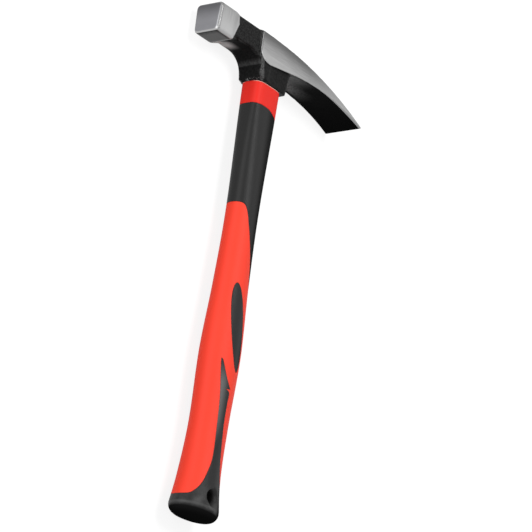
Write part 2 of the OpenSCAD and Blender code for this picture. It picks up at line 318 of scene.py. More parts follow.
def close_tree(graph, end, shape, material):
    """Brings the shape from millimetres to its place, realizes it and gives it its material."""
    placed = graph.add(
        "GeometryNodeTransform",
        {},
        {"Geometry": shape, "Translation": PLACE, "Scale": (MM, MM, MM)},
    )
    real = graph.add("GeometryNodeRealizeInstances", {}, {"Geometry": placed})
    done = graph.add("GeometryNodeSetMaterial", {}, {"Geometry": real, "Material": material})
    graph.tree.links.new(done.socket, end.inputs["Geometry"])


def run_tree(name, mesh, graph, sizes):
    """An object whose plain mesh is what the tree makes of the given mesh."""
    piece = bpy.data.objects.new(name, mesh)
    bpy.context.scene.collection.objects.link(piece)
    modifier = piece.modifiers.new(graph.tree.name, "NODES")
    modifier.node_group = graph.tree
    for item in graph.tree.interface.items_tree:
        if item.in_out == "INPUT" and item.name in sizes:
            modifier[item.identifier] = sizes[item.name]
    depsgraph = bpy.context.evaluated_depsgraph_get()
    made = bpy.data.meshes.new_from_object(piece.evaluated_get(depsgraph), depsgraph=depsgraph)
    piece.modifiers.clear()
    piece.data = made
    made.name = name
    return piece


# Head


def make_head(material):
    """The forged head as one field of distances, meshed where the field is zero."""
    graph, size, _, end = geometry_tree("forged head", HEAD)
    place = graph.add("GeometryNodeInputPosition")
    point = graph.add("ShaderNodeSeparateXYZ", {}, {"Vector": place})
    x, y, z = point, point.also("Y"), point.also("Z")
    side = abs(z)
    top = size["Tool length"]
    seat = top - size["Head height"]
    half = math.sqrt(0.5)

    # Shallow waves that the drop hammer leaves on the faces that aren't ground
    waves = graph.add(
        "ShaderNodeTexNoise", {}, {"Vector": place, "Scale": 0.11, "Detail": 1.5, "Roughness": 0.45}
    )
    ripple = (waves - 0.5) * size["Forging ripple"]

    # Poll, a little wider at the top than below
    poll_half = size["Poll width"] / 2.0
    poll_rear = size["Poll length"] - size["Face reach"]
    poll_foot = poll_rear + size["Poll slope"]
    poll_low = top - size["Poll height"]
    neck_top = top - size["Neck drop"]
    neck_low = neck_top - size["Neck height"]
    neck_half = size["Neck width"] / 2.0
    face = -x - size["Face reach"]
    wall_z = side - poll_half + (top - y) * (size["Poll taper"] / size["Poll height"])
    wall_y = larger(y - top, poll_low - y)
    corner = (wall_z + wall_y + size["Poll edge"]) * half
    walls = common([wall_z, wall_y, corner], size["Poll corner soft"])
    bevel = (face + walls + size["Face bevel"]) * half
    behind = x - poll_rear
    taper_z = wall_z + behind * ((poll_half - neck_half) / size["Poll slope"])
    taper_top = y - top + behind * (size["Neck drop"] / size["Poll slope"])
    long_slope = size["Poll slope"] + size["Poll overlap"]
    taper_low = poll_low - y + behind * ((neck_low - poll_low) / long_slope)
    poll = common([face, walls, bevel], size["Ground soft"])
    poll = common([poll, taper_z, taper_top, taper_low], size["Forged soft"])
    poll = larger(poll, x - (poll_foot + size["Poll overlap"]))

    # Neck, with the throat that runs down into the boss
    boss_height = size["Head height"] - size["Neck drop"]
    throat_y = neck_low - size["Throat radius"]
    lean_there = size["Boss lean"] * (throat_y - seat) / boss_height
    throat_x = -size["Boss front"] - lean_there - size["Throat radius"]
    throat = size["Throat radius"] - distance(larger(x - throat_x, 0.0), larger(y - throat_y, 0.0))
    neck = common(
        [throat + ripple, y - neck_top + ripple, side - neck_half + ripple], size["Forged soft"]
    )
    crest_y = top - size["Crest drop"] - size["Crest radius"]
    level = larger(x + size["Crest place"], 0.0)
    trim = distance(level, y - crest_y) - size["Crest radius"]
    fade = (x + size["Neck end"]) * size["Neck fade"]
    neck = common([neck, fade, poll_rear - x, throat_y - y, trim], 0.0)

    # Boss round the eye
    up = (y - seat) / boss_height
    front = -x - size["Boss front"] - size["Boss lean"] * up + ripple
    back = x - size["Boss back"] - size["Boss back lean"] * up + ripple
    flank = side - size["Boss width"] / 2.0 - size["Boss draft"] * up + ripple
    front_edge = (front + flank + size["Boss chamfer"]) * half
    back_edge = (back + flank + size["Boss back chamfer"]) * half
    boss = common([front, back, flank, front_edge, back_edge, y - neck_top], size["Forged soft"])
    boss = larger(larger(boss, seat - y, size["Seat soft"]), trim)
    body = smaller(smaller(poll, neck, size["Forged soft"]), boss, size["Neck blend"])

    # Blade with its curved top, hollow underside and flat ground cheeks
    crest = distance(x + size["Crest place"], y - crest_y) - size["Crest radius"]
    reach = size["Blade reach"] + size["Crest place"]
    tip_top = crest_y + root(size["Crest radius"] * size["Crest radius"] - reach * reach)
    belly_top = top - size["Belly depth"]
    drop = belly_top - (tip_top - size["Edge thickness"])
    run = size["Blade reach"] - size["Belly place"]
    belly_r = (run * run + drop * drop) / (2.0 * drop)
    belly_y = belly_top - belly_r
    belly = belly_r - distance(x - size["Belly place"], y - belly_y)
    line_x = size["Belly place"] - size["Cheek line"]
    line_y = belly_y + root(belly_r * belly_r - line_x * line_x)
    slope = line_x / (line_y - belly_y)
    line = (line_y - slope * (size["Cheek line"] - x) - y) / root(1.0 + slope * slope)
    past_line = x > size["Cheek line"]
    under = belly * past_line + line * (1.0 - past_line)
    nose = -x - size["Cheek front"]
    corner_r = size["Cheek corner"]
    rounded = distance(larger(nose + corner_r, 0.0), larger(under + corner_r, 0.0)) - corner_r
    outline = larger(smaller(larger(nose, under), -corner_r), rounded)
    from_nose = x + size["Cheek front"] - size["Cheek bevel"]
    widen = (size["Blade width"] - size["Root width"]) / (
        2.0 * (size["Blade reach"] + size["Cheek front"] - size["Cheek bevel"])
    )
    cheek = side - size["Root width"] / 2.0 - widen * from_nose
    cheek_edge = (nose + cheek + size["Cheek bevel"]) * half
    tip = x - size["Blade reach"]
    worked = ripple * rise(x, 24.0, 40.0) * fall(x, 70.0, 90.0)
    blade = common([outline + worked, crest, cheek, cheek_edge], size["Blade soft"])
    blade = larger(blade, tip, size["Edge soft"])

    # The blade grows out of the boss: a tight step round the cheek, a full fillet behind
    deep = rise(x, 6.0, 13.0) * fall(side, 8.0, 10.6)
    blend = size["Cheek blend"] + (size["Belly blend"] - size["Cheek blend"]) * deep
    head = smaller(body, blade, blend)
    straight = (size["Eye length"] - size["Eye width"]) / 2.0
    eye = distance(larger(abs(x) - straight, 0.0), z) - size["Eye width"] / 2.0
    head = larger(larger(head, -eye, size["Eye soft"]), y - top)

    low = (-FACE_REACH - MARGIN, SEAT_Y - MARGIN, -BLADE_W / 2 - MARGIN)
    high = (BLADE_REACH + MARGIN, TOOL_L + MARGIN, BLADE_W / 2 + MARGIN)
    counts = {f"Resolution {axis}": int((b - a) / GRID) for axis, a, b in zip("XYZ", low, high)}
    field = graph.add(
        "GeometryNodeVolumeCube",
        {},
        {"Density": -head, "Background": -1.0, "Min": low, "Max": high, **counts},
    )
    skin = graph.add("GeometryNodeVolumeToMesh", {}, {"Volume": field, "Threshold": 0.0})
    close_tree(graph, end, skin, material)
    return run_tree("forged_head", bpy.data.meshes.new("forged_head"), graph, HEAD)


# Handle


def handle_at(y):
    """Half width, half thickness, bow and squareness of the handle at heights y."""
    y = np.asarray(y, float)
    height = STATIONS[:, 0]
    i = np.clip(np.searchsorted(height, y, side="right") - 1, 0, len(height) - 2)
    before = np.maximum(np.arange(len(height)) - 1, 0)
    after = np.minimum(np.arange(len(height)) + 1, len(height) - 1)
    slopes = (STATIONS[after] - STATIONS[before]) / (height[after] - height[before])[:, None]
    gap = (height[i + 1] - height[i])[..., None]
    t = (y[..., None] - height[i][..., None]) / gap
    value = (
        (2 * t**3 - 3 * t**2 + 1) * STATIONS[i]
        + (3 * t**2 - 2 * t**3) * STATIONS[i + 1]
        + (t**3 - 2 * t**2 + t) * gap * slopes[i]
        + (t**3 - t**2) * gap * slopes[i + 1]
    )
    return value[..., 1] / 2, value[..., 2] / 2, value[..., 3], value[..., 4]


def on_handle(turn, y):
    """Points of the handle's outer skin at angles turn and heights y."""
    half_w, half_t, bow, square = handle_at(y)
    c, s = np.cos(turn), np.sin(turn)
    reach = (np.abs(c) ** square + np.abs(s) ** square) ** (-1 / square)
    return np.stack([bow + half_w * c * reach, y, half_t * s * reach], axis=-1)


def turn_of(x, y):
    """The angle at which the near half of the handle passes a point of its side view."""
    half_w, _, bow, square = handle_at(y)
    across = np.clip((x - bow) / half_w, -1.0, 1.0)
    return np.arctan2((1 - np.abs(across) ** square) ** (1 / square), across)


def smooth_line(points, steps=30):
    """A smooth open line through points of the side view."""
    p = np.array(points, float)
    p = np.vstack([p[:1], p, p[-1:]])
    t = np.linspace(0, 1, steps, endpoint=False)[:, None]
    spans = []
    for a, b, c, d in zip(p, p[1:], p[2:], p[3:]):
        spans.append(
            0.5 * (2 * b + (c - a) * t + (2 * a - 5 * b + 4 * c - d) * t**2
                   + (3 * b - a - 3 * c + d) * t**3)
        )
    return np.vstack(spans + [p[-1:]])


def seam_lines():
    """Side views of the lines along which the two plastics meet, and of the hanging hole."""
    drop = GRIP_FALL
    grip_edge = smooth_line([
        (-16.4, GRIP_TOP - 1), (-11.4, GRIP_TOP), (-7.6, GRIP_TOP - 0.02 * drop),
        (-5, GRIP_TOP - 0.1 * drop), (-3, GRIP_TOP - 0.21 * drop), (0.2, GRIP_TOP - 0.385 * drop),
        (4.4, GRIP_TOP - 0.63 * drop), (8.4, GRIP_TOP - 0.9 * drop), (14.8, GRIP_TOP - 1.08 * drop),
    ])
    drop = COLLAR_FALL
    collar_edge = smooth_line([
        (-18, COLLAR_LOW), (-6, COLLAR_LOW), (-1, COLLAR_LOW - 0.02 * drop),
        (2, COLLAR_LOW - 0.11 * drop), (5.2, COLLAR_LOW - 0.33 * drop),
        (9, COLLAR_LOW - 0.62 * drop), (13, COLLAR_LOW - drop),
    ])
    w = np.linspace(0, 2 * math.pi, 241)
    a, b = LEAF_W / 2 * np.sin(w), LEAF_L / 2 * np.cos(w)
    c, s = math.cos(LEAF_SLANT), math.sin(LEAF_SLANT)
    leaf = np.stack([LEAF_X + c * a - s * b, LEAF_Y + s * a + c * b], axis=-1)
    half, grow, low = FORK_W / 2, FORK_Y - GRIP_LOW, GRIP_LOW
    front, back = STATIONS[0, 3] - STATIONS[0, 1] / 2, STATIONS[0, 3] + STATIONS[0, 1] / 2
    fork_front = smooth_line([
        (front - 3, low), (front + 3.9, low + 0.4), (front + 7.5, low + 3.2),
        (front + 11.3, low + 0.094 * grow),
        (-FORK_X - half - 3.3, low + 0.178 * grow), (-FORK_X - half - 0.6, low + 0.29 * grow),
        (-FORK_X - half, low + 0.46 * grow), (-FORK_X - half - 1, low + 0.7 * grow),
        (-FORK_X - half - 4, low + 0.93 * grow), (-FORK_X - half - 4.6, FORK_Y),
    ])
    barb = smooth_line([
        (-FORK_X - half - 3.5, FORK_Y - 0.5), (-FORK_X - half + 0.5, FORK_Y - 9.4),
        (0.7 - FORK_X, FORK_Y - 14.7), (FORK_BARB - FORK_X, FORK_Y - 18.2),
    ])
    fork_back = smooth_line([
        (-FORK_X - 0.7, FORK_Y - 19.2), (2 - FORK_X, FORK_Y - 19.9),
        (FORK_BARB - FORK_X - 0.2, FORK_Y - 21.8), (half - FORK_X, low + 0.7 * grow),
        (half - FORK_X - 0.1, low + 0.56 * grow), (half - FORK_X + 0.9, low + 0.4 * grow),
        (half - FORK_X + 1.9, low + 0.28 * grow), (half - FORK_X + 4.4, low + 0.18 * grow),
        (back - 6.7, low + 6), (back + 3, low + 2),
    ])
    centre = handle_at(HANG_Y)[2]
    hole = np.stack(
        [centre + HANG_D / 2 * np.cos(w), HANG_Y + HANG_D / 2 * np.sin(w)], axis=-1
    )
    fork = [fork_front, np.vstack([fork_front[-1:], barb]),
            np.vstack([barb[-1:], fork_back[:1]]), fork_back]
    return {
        "grip": [grip_edge], "collar": [collar_edge], "leaf": [leaf], "fork": fork, "hole": [hole]
    }


def within(outline, x, y):
    """Whether points lie inside a closed outline of the side view."""
    inside = np.zeros(len(x), bool)
    for (x0, y0), (x1, y1) in zip(outline, np.roll(outline, -1, axis=0)):
        if y0 != y1:
            crosses = (y0 > y) != (y1 > y)
            inside ^= crosses & (x < (x1 - x0) * (y - y0) / (y1 - y0) + x0)
    return inside


def end_of_handle(level, front_y, line, back_y):
    """Outline of the end of the handle that lies between a line across it and a level beyond."""
    return np.vstack([[(-WIDE, level), (-WIDE, front_y)], *line, [(WIDE, back_y), (WIDE, level)]])


def zone_of(lines, x, y):
    """0 for the hard jacket, 1 for the grip, 2 for the collar and 3 for the hole."""
    grip_back, collar_back = GRIP_TOP - 1.1 * GRIP_FALL, COLLAR_LOW - COLLAR_FALL
    grip = within(end_of_handle(BELOW, GRIP_TOP - 1, lines["grip"], grip_back), x, y)
    fork = within(end_of_handle(BELOW, GRIP_LOW, lines["fork"], GRIP_LOW + 2), x, y)
    leaf = within(lines["leaf"][0], x, y)
    collar = within(end_of_handle(ABOVE, COLLAR_LOW, lines["collar"], collar_back), x, y)
    zone = np.where(grip & ~fork & ~leaf, 1, 0)
    zone = np.where(collar, 2, zone)
    return np.where(within(lines["hole"][0], x, y), 3, zone)


def lay_line(line, step):
    """A line of the side view laid on the near half of the skin, as evenly spaced (turn, y)."""
    fine = np.vstack([np.linspace(a, b, 9)[:-1] for a, b in zip(line, line[1:])] + [line[-1:]])
    half_w, _, bow, _ = handle_at(fine[:, 1])
    over = np.abs((fine[:, 0] - bow) / half_w) - 1.0
    kept = []
    for i, point in enumerate(fine):
        if i and (over[i - 1] > 0) != (over[i] > 0):
            kept.append(fine[i - 1] + (point - fine[i - 1]) * over[i - 1] / (over[i - 1] - over[i]))
        if over[i] <= 0:
            kept.append(point)
    kept = np.array(kept)
    flat = np.stack([turn_of(*kept.T), kept[:, 1]], axis=-1)
    for end, outside in ((0, over[0] > 0), (-1, over[-1] > 0)):
        if outside:
            flat[end, 0] = 0.0 if flat[end, 0] < 1.5 else math.pi
    walked = np.linalg.norm(np.diff(on_handle(*flat.T), axis=0), axis=1)
    walked = np.concatenate([[0.0], np.cumsum(walked)])
    even = np.linspace(0.0, walked[-1], max(2, int(walked[-1] / step) + 1))
    return np.stack([np.interp(even, walked, flat[:, k]) for k in (0, 1)], axis=-1)


def beside(line, away):
    """The line moved over the skin by a distance, to its left if that is positive."""
    turn, y = line[:, 0], line[:, 1]
    across = (on_handle(turn + 1e-4, y) - on_handle(turn - 1e-4, y)) / 2e-4
    along = (on_handle(turn, y + 1e-3) - on_handle(turn, y - 1e-3)) / 2e-3
    path = np.gradient(on_handle(turn, y), axis=0)
    normal = np.cross(across, along)
    out = np.cross(normal, path)
    out *= away / np.linalg.norm(out, axis=1)[:, None]
    aa, ab, bb = (across * across).sum(1), (across * along).sum(1), (along * along).sum(1)
    oa, ob = (out * across).sum(1), (out * along).sum(1)
    scale = aa * bb - ab * ab
    return line + np.stack([(oa * bb - ob * ab) / scale, (ob * aa - oa * ab) / scale], axis=-1)


def nearest(points, targets):
    """Distance from each point to the nearest of the targets."""
    tree = KDTree(len(targets))
    for i, target in enumerate(targets):
        tree.insert(target, i)
    tree.balance()
    return np.array([tree.find(p)[2] for p in points])


def seat_line(count):
    """The near half of the handle's top edge as (turn, y)."""
    return np.stack([np.linspace(0, math.pi, count), np.full(count, SEAT_Y)], axis=-1)


def cut_skin(lines):
    """The near half of the handle's skin as flat triangles that follow every seam.

    Gives corners as (turn, y), triangles, their zones, and each corner's distance from the
    nearest seam.
    """
    laid = {name: [lay_line(part, SEAM_STEP) for part in parts] for name, parts in lines.items()}
    dense = {
        name: np.vstack([on_handle(*lay_line(part, SEAM_FINE).T) for part in parts])
        for name, parts in lines.items()
    }
    marks = [part for parts in laid.values() for part in parts]
    seams = np.vstack(
        [dense[name] for name in lines if name != "hole"]
        + [on_handle(*part.T) for part in (seat_line(900), *marks[:-1])]
    )
    seams = np.vstack([seams, seams * (1, 1, -1)])
    holes = np.vstack([dense["hole"], on_handle(*laid["hole"][0].T)])

    corners, edges = [], []
    for part in marks:
        first = len(corners)
        corners.extend(part)
        edges.extend((first + i, first + i + 1) for i in range(len(part) - 1))

    rows = []
    for name, parts in laid.items():
        for part in parts:
            for away in HANG_ROWS if name == "hole" else SEAM_ROWS:
                for turned in (-away, away):
                    rows.append((away, beside(part, turned)))
    rows += [(away, seat_line(60) - (0.0, away)) for away in LIP_ROWS]
    for away, row in rows:
        held = (row[:, 0] > 0.25 * away / ROUND) & (row[:, 0] < math.pi - 0.25 * away / ROUND)
        row = row[held & (row[:, 1] < SEAT_Y) & (row[:, 1] > RIM_Y + 0.3)]
        apart = np.minimum(*(nearest(on_handle(*row.T), group) for group in (seams, holes)))
        corners.extend(row[apart > 0.85 * away])

    columns = int(ROUND * math.pi / STEP)
    turns = np.linspace(0, math.pi, columns + 1)
    heights = np.linspace(RIM_Y, SEAT_Y, int((SEAT_Y - RIM_Y) / STEP) + 1)
    sheet = []
    for k, y in enumerate(heights):
        inner = turns[1:-1] + (0.25 if k % 2 else -0.25) * (turns[1] - turns[0])
        ends = k in (0, len(heights) - 1)
        for turn in turns if ends else np.concatenate([[0.0], inner, [math.pi]]):
            sheet.append((turn, y))
    sheet = np.array(sheet)
    from_seam, from_hole = (nearest(on_handle(*sheet.T), group) for group in (seams, holes))
    border = (sheet[:, 1] == SEAT_Y) | (sheet[:, 1] == RIM_Y)
    corners.extend(sheet[border | (from_seam > SEAM_ROOM) & (from_hole > HANG_FLARE)])

    flat = [Vector((turn * ROUND, y)) for turn, y in corners]
    found, _, faces, *_ = delaunay_2d_cdt(flat, edges, [], 0, 1e-6)
    points = np.array([(p.x / ROUND, p.y) for p in found])
    for axis, line in ((0, 0.0), (0, math.pi), (1, RIM_Y), (1, SEAT_Y)):
        points[np.abs(points[:, axis] - line) < 1e-5, axis] = line
    faces = np.array([list(face)[::-1] for face in faces])
    middle = points[faces].mean(axis=1)
    zones = zone_of(lines, on_handle(*middle.T)[:, 0], middle[:, 1])
    return points, faces, zones, nearest(on_handle(*points.T), seams)


class Panel:
    """Flat corners and faces that the handle tree wraps round the handle's form."""

    FIELDS = ("seam_gap", "sunk", "inset", "shrink")

    def __init__(self):
        self.flat = []
        self.values = []
        self.faces = []
        self.known = {}

    def corner(self, key, turn, y, seam_gap=NO_LIP, sunk=0.0, inset=0.0, shrink=1.0):
        if key not in self.known:
            self.known[key] = len(self.flat)
            self.flat.append((turn, y, 0.0))
            self.values.append((seam_gap, sunk, inset, shrink))
        return self.known[key]

    def mesh(self, name):
        """The flat panel as a mesh that carries the form's sizes at each corner."""
        mesh = bpy.data.meshes.new(name)
        mesh.from_pydata(self.flat, [], self.faces)
        y = np.array(self.flat)[:, 1]
        named = dict(zip(self.FIELDS, np.array(self.values).T))
        named.update(zip(("half_width", "half_thickness", "bow", "square"), handle_at(y)))
        for label, numbers in named.items():
            mesh.attributes.new(label, "FLOAT", "POINT").data.foreach_set(
                "value", np.ascontiguousarray(numbers, np.float32)
            )
        return mesh


def lay_faces(panel, skin, zones_in, sunk, flip=False):
    """Adds both halves of some zones of the skin to a panel, sunk by its thickness or not."""
    points, faces, zones, seam_gap = skin
    ends = (0.0, math.pi)
    for face in faces[np.isin(zones, zones_in)]:
        for mirrored in (False, True):
            ring = []
            for i in face:
                turn, y = points[i]
                far = mirrored and turn not in ends
                ring.append(panel.corner(
                    (i, far, sunk), -turn if far else turn, y,
                    NO_LIP if sunk else seam_gap[i], float(sunk),
                ))
            panel.faces.append(ring[::-1] if mirrored != flip else ring)


def open_edges(faces):
    """Edges that belong to one face only, each in its face's direction."""
    count = {}
    for ring in faces:
        for a, b in zip(ring, ring[1:] + ring[:1]):
            count[(a, b)] = count.get((a, b), 0) + 1
    return [edge for edge in count if (edge[1], edge[0]) not in count]


def inlay(skin, zone):
    """A soft inlay: its outer face, its bed and the wall round it."""
    panel = Panel()
    lay_faces(panel, skin, [zone], 0)
    rim = open_edges(panel.faces)
    lay_faces(panel, skin, [zone], 1, flip=True)
    name = {index: key for key, index in panel.known.items()}
    for a, b in rim:
        (i, far_a, _), (j, far_b, _) = name[a], name[b]
        panel.faces.append([b, a, panel.known[(i, far_a, 1)], panel.known[(j, far_b, 1)]])
    return panel


def jacket(skin):
    """The hard jacket: its own faces, the beds of the inlays, the steps between and the butt."""
    panel = Panel()
    lay_faces(panel, skin, [0], 0)
    shown = open_edges(panel.faces)
    lay_faces(panel, skin, [1, 2], 1)
    name = {index: key for key, index in panel.known.items()}
    points = skin[0]
    for a, b in shown:
        (i, far_a, _), (j, far_b, _) = name[a], name[b]
        beds = [panel.known.get((i, far_a, 1)), panel.known.get((j, far_b, 1))]
        if None not in beds:
            panel.faces.append([b, a, beds[0], beds[1]])

    # The rim and the crowned end of the butt, ring by ring from its lowest row of corners
    low = [(i, far) for (i, far, sunk), k in panel.known.items()
           if points[i, 1] == RIM_Y and not sunk]
    low.sort(key=lambda item: -points[item[0], 0] if item[1] else points[item[0], 0])
    rows = [(BUTT_CROWN + BUTT_R * (1 - math.sin(a)), BUTT_R * (1 - math.cos(a)), 1.0)
            for a in np.linspace(0, math.pi / 2, RIM_ROWS)[1:]]
    rows += [(BUTT_CROWN * f * f, BUTT_R, f) for f in np.linspace(1, 0, CROWN_ROWS)[1:-1]]
    above = [panel.known[(i, far, 0)] for i, far in low]
    for level, (y, inset, shrink) in enumerate(rows):
        ring = [
            panel.corner(("butt", level, i, far), -points[i, 0] if far else points[i, 0], y,
                         inset=inset, shrink=shrink)
            for i, far in low
        ]
        for k in range(len(ring)):
            n = (k + 1) % len(ring)
            panel.faces.append([above[k], above[n], ring[n], ring[k]])
        above = ring
    pole = panel.corner(("butt", "pole"), 0.0, 0.0, inset=BUTT_R, shrink=0.0)
    for k in range(len(above)):
        panel.faces.append([above[k], above[(k + 1) % len(above)], pole])
    return panel


def wrap_panel(name, panel, material):
    """Wraps a flat panel round the handle's form, with rounded lips and the flare of the hole."""
    _, face, hole_x, _ = handle_at(HANG_Y)
    slope = (handle_at(HANG_Y + 1)[1] - handle_at(HANG_Y - 1)[1]) / 2
    sizes = {
        "Seam lip": SEAM_LIP,
        "Skin thickness": SKIN_T,
        "Hole across": float(hole_x),
        "Hole along": HANG_Y,
        "Hole radius": HANG_D / 2,
        "Hole rim": float(face) + HANG_RISE,
        "Hole slope": float(slope),
        "Hole flare": HANG_FLARE,
        "Hole front share": HANG_FRONT,
        "Hole soft": HANG_SOFT,
    }
    graph, size, entry, end = geometry_tree(name + " wrap", sizes)

    def value(label):
        return graph.add(
            "GeometryNodeInputNamedAttribute", {"data_type": "FLOAT"}, {"Name": label}
        )

    def curl(gap, radius):
        """Height of a quarter round that starts upright at no gap and is level at its radius."""
        short = larger(radius - gap, 0.0)
        return root(larger(radius * radius - short * short, 0.0))

    place = graph.add("GeometryNodeInputPosition")
    flat = graph.add("ShaderNodeSeparateXYZ", {}, {"Vector": place})
    turn, y = flat, flat.also("Y")
    c, s = turn.math("COSINE", turn), turn.math("SINE", turn)
    square = value("square")
    reach = (abs(c) ** square + abs(s) ** square) ** (-1.0 / square)
    sunk = value("sunk")
    depth = value("inset") + sunk * size["Skin thickness"]
    lip = size["Seam lip"] - curl(value("seam_gap"), size["Seam lip"])
    depth = depth + (1.0 - sunk) * lip
    shrink = value("shrink")
    x = value("bow") + shrink * (value("half_width") - depth) * c * reach
    z = shrink * (value("half_thickness") - depth) * s * reach
    over, up = x - size["Hole across"], y - size["Hole along"]
    gap = larger(distance(over, up) - size["Hole radius"], 0.0)
    front = size["Hole front share"]
    flare = size["Hole flare"] * (front + (1.0 - front) * rise(over, -4.0, 3.0))
    mouth = size["Hole rim"] - flare + curl(gap, flare) + larger(gap - flare, 0.0)
    z = z.math("SIGN", z) * smaller(abs(z), mouth + size["Hole slope"] * up, size["Hole soft"])
    wrapped = graph.add("ShaderNodeCombineXYZ", {}, {"X": x, "Y": y, "Z": z})
    moved = graph.add(
        "GeometryNodeSetPosition", {}, {"Geometry": entry.also("Geometry"), "Position": wrapped}
    )
    close_tree(graph, end, moved, material)
    return run_tree(name, panel.mesh(name), graph, sizes)


def close_piece(piece):
    """Closes the seat and the hanging hole, where the piece has them, and turns faces outwards."""
    form = bmesh.new()
    form.from_mesh(piece.data)
    seat = SEAT_Y * MM + PLACE.y
    ends = [e for e in form.edges if e.is_boundary]
    top = [e for e in ends if all(abs(v.co.y - seat) < 1e-6 for v in e.verts)]
    at_top = set(top)
    hole = [e for e in ends if e not in at_top]
    if top:
        bmesh.ops.edgeloop_fill(form, edges=top)
    if hole:
        bmesh.ops.bridge_loops(form, edges=hole)
    bmesh.ops.recalc_face_normals(form, faces=form.faces)
    form.to_mesh(piece.data)
    form.free()


def finish_mesh(piece, angle):
    """Smooth faces with sharp edges past an angle, and how sharply each corner bends outwards."""
    mesh = piece.data
    mesh.shade_smooth()
    mesh.set_sharp_from_angle(angle=math.radians(angle))
    count = len(mesh.vertices)
    at, normal = np.zeros(count * 3), np.zeros(count * 3)
    mesh.vertices.foreach_get("co", at)
    mesh.vertices.foreach_get("normal", normal)
    at, normal = at.reshape(-1, 3) / MM, normal.reshape(-1, 3)
    pairs = np.zeros(len(mesh.edges) * 2, int)
    mesh.edges.foreach_get("vertices", pairs)
    pairs = np.vstack([pairs.reshape(-1, 2), pairs.reshape(-1, 2)[:, ::-1]])
    way = at[pairs[:, 1]] - at[pairs[:, 0]]
    bend = -(way * normal[pairs[:, 0]]).sum(1) / np.maximum((way * way).sum(1), 1e-6)
    number = np.maximum(np.bincount(pairs[:, 0], minlength=count), 1)
    for _ in range(2):
        mean = np.bincount(pairs[:, 0], bend, count) / number
        bend = mean[pairs[:, 1]]
    mesh.attributes.new("bend", "FLOAT", "POINT").data.foreach_set("value", mean.astype(np.float32))


# Finishes


def new_material(name):
    """An empty material, as (material, graph, its Object coordinates, finish).

    Finish ends it with the sockets of one shader, and any others that lie over it by a share.
    """
    material = bpy.data.materials.new(name)
    material.use_nodes = True
    material.node_tree.nodes.clear()
    graph = Graph(material.node_tree)
    coordinates = graph.add("ShaderNodeTexCoord", {}, {}, "Object")

    def finish(sockets, *others):
        shader = graph.add("ShaderNodeBsdfPrincipled", {}, sockets)
        for share, more in others:
            other = graph.add("ShaderNodeBsdfPrincipled", {}, more)
            shader = graph.add("ShaderNodeMixShader", {}, {0: share, 1: shader, 2: other})
        graph.add("ShaderNodeOutputMaterial", {}, {"Surface": shader})

    return material, graph, coordinates, finish


def noise(graph, vector, scale, detail=2.0, rough=0.5, stretch=None, turned=(0.0, 0.0, 0.0)):
    """Noise of so many grains a metre, stretched and turned if need be."""
    if stretch:
        vector = graph.add(
            "ShaderNodeMapping", {}, {"Vector": vector, "Scale": stretch, "Rotation": turned}
        )
    return graph.add(
        "ShaderNodeTexNoise",
        {},
        {"Vector": vector, "Scale": scale, "Detail": detail, "Roughness": rough},
    )


def cells(graph, vector, scale, feature="F1"):
    """Distance from the middle of the nearest of many cells."""
    return graph.add(
        "ShaderNodeTexVoronoi", {"feature": feature}, {"Vector": vector, "Scale": scale}
    )


def coat(colour, rough, normal, specular=0.5, **more):
    """Sockets of one shader."""
    return {
        "Base Color": colour,
        "Roughness": rough,
        "Specular IOR Level": specular,
        "Normal": normal,
        **more,
    }


def bump(graph, height, strength, depth, under=None):
    sockets = {"Height": height, "Strength": strength, "Distance": depth}
    if under:
        sockets["Normal"] = under
    return graph.add("ShaderNodeBump", {}, sockets)


def in_millimetres(graph, coordinates):
    """Object coordinates as X, Y and Z along the handle, in millimetres."""
    split = graph.add("ShaderNodeSeparateXYZ", {}, {"Vector": coordinates})
    return (
        split / MM + MID_X,
        split.also("Y") / MM + TOOL_L / 2,
        split.also("Z") / MM - BLADE_W / 2,
    )


def attribute(graph, name):
    return graph.add("ShaderNodeAttribute", {"attribute_name": name}, {}, "Fac")


